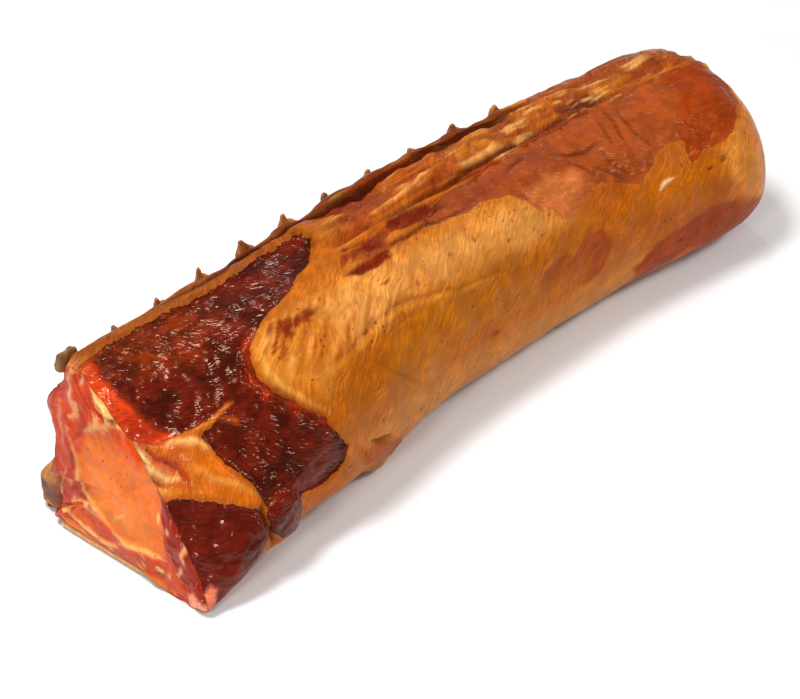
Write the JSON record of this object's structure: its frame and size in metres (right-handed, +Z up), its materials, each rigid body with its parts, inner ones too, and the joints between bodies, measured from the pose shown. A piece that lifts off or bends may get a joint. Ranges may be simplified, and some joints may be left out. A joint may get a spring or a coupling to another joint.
{
  "type": "smoked bone-in pork loin",
  "caption": "Whole smoked pork loin on the bone: a long round-topped body of meat and fat cover with halved vertebrae along its split back edge and ribs across its flat underside.",
  "frame": {"origin": "centre of the bounding box in X and Y, on the plane that the loin lies on", "axes": "+X along the loin from the sawn end to the rounded end, +Y towards the split back side with the halved vertebrae, +Z up"},
  "size_m": [0.4496, 0.1258, 0.102],
  "materials": {
    "smoked_meat": "smoked fat cover from pale gold to amber, dark red-brown smoked muscle, wet red meat at the cut end; semi-gloss, greasy sheen",
    "smoked_bone": "smoke-stained bone, matt tan-brown with darker porous marrow"
  },
  "bodies": {
    "root": {"loin_meat": "smoked_meat", "vertebra_01": "smoked_bone", "vertebra_02": "smoked_bone", "vertebra_03": "smoked_bone", "vertebra_04": "smoked_bone", "vertebra_05": "smoked_bone", "vertebra_06": "smoked_bone", "vertebra_07": "smoked_bone", "vertebra_08": "smoked_bone", "vertebra_09": "smoked_bone", "vertebra_10": "smoked_bone", "vertebra_11": "smoked_bone", "vertebra_12": "smoked_bone", "vertebra_13": "smoked_bone", "vertebra_14": "smoked_bone", "rib_01": "smoked_bone", "rib_02": "smoked_bone", "rib_03": "smoked_bone", "rib_04": "smoked_bone", "rib_05": "smoked_bone", "rib_06": "smoked_bone", "rib_07": "smoked_bone", "rib_08": "smoked_bone", "rib_09": "smoked_bone", "rib_10": "smoked_bone"}
  },
  "joints": []
}
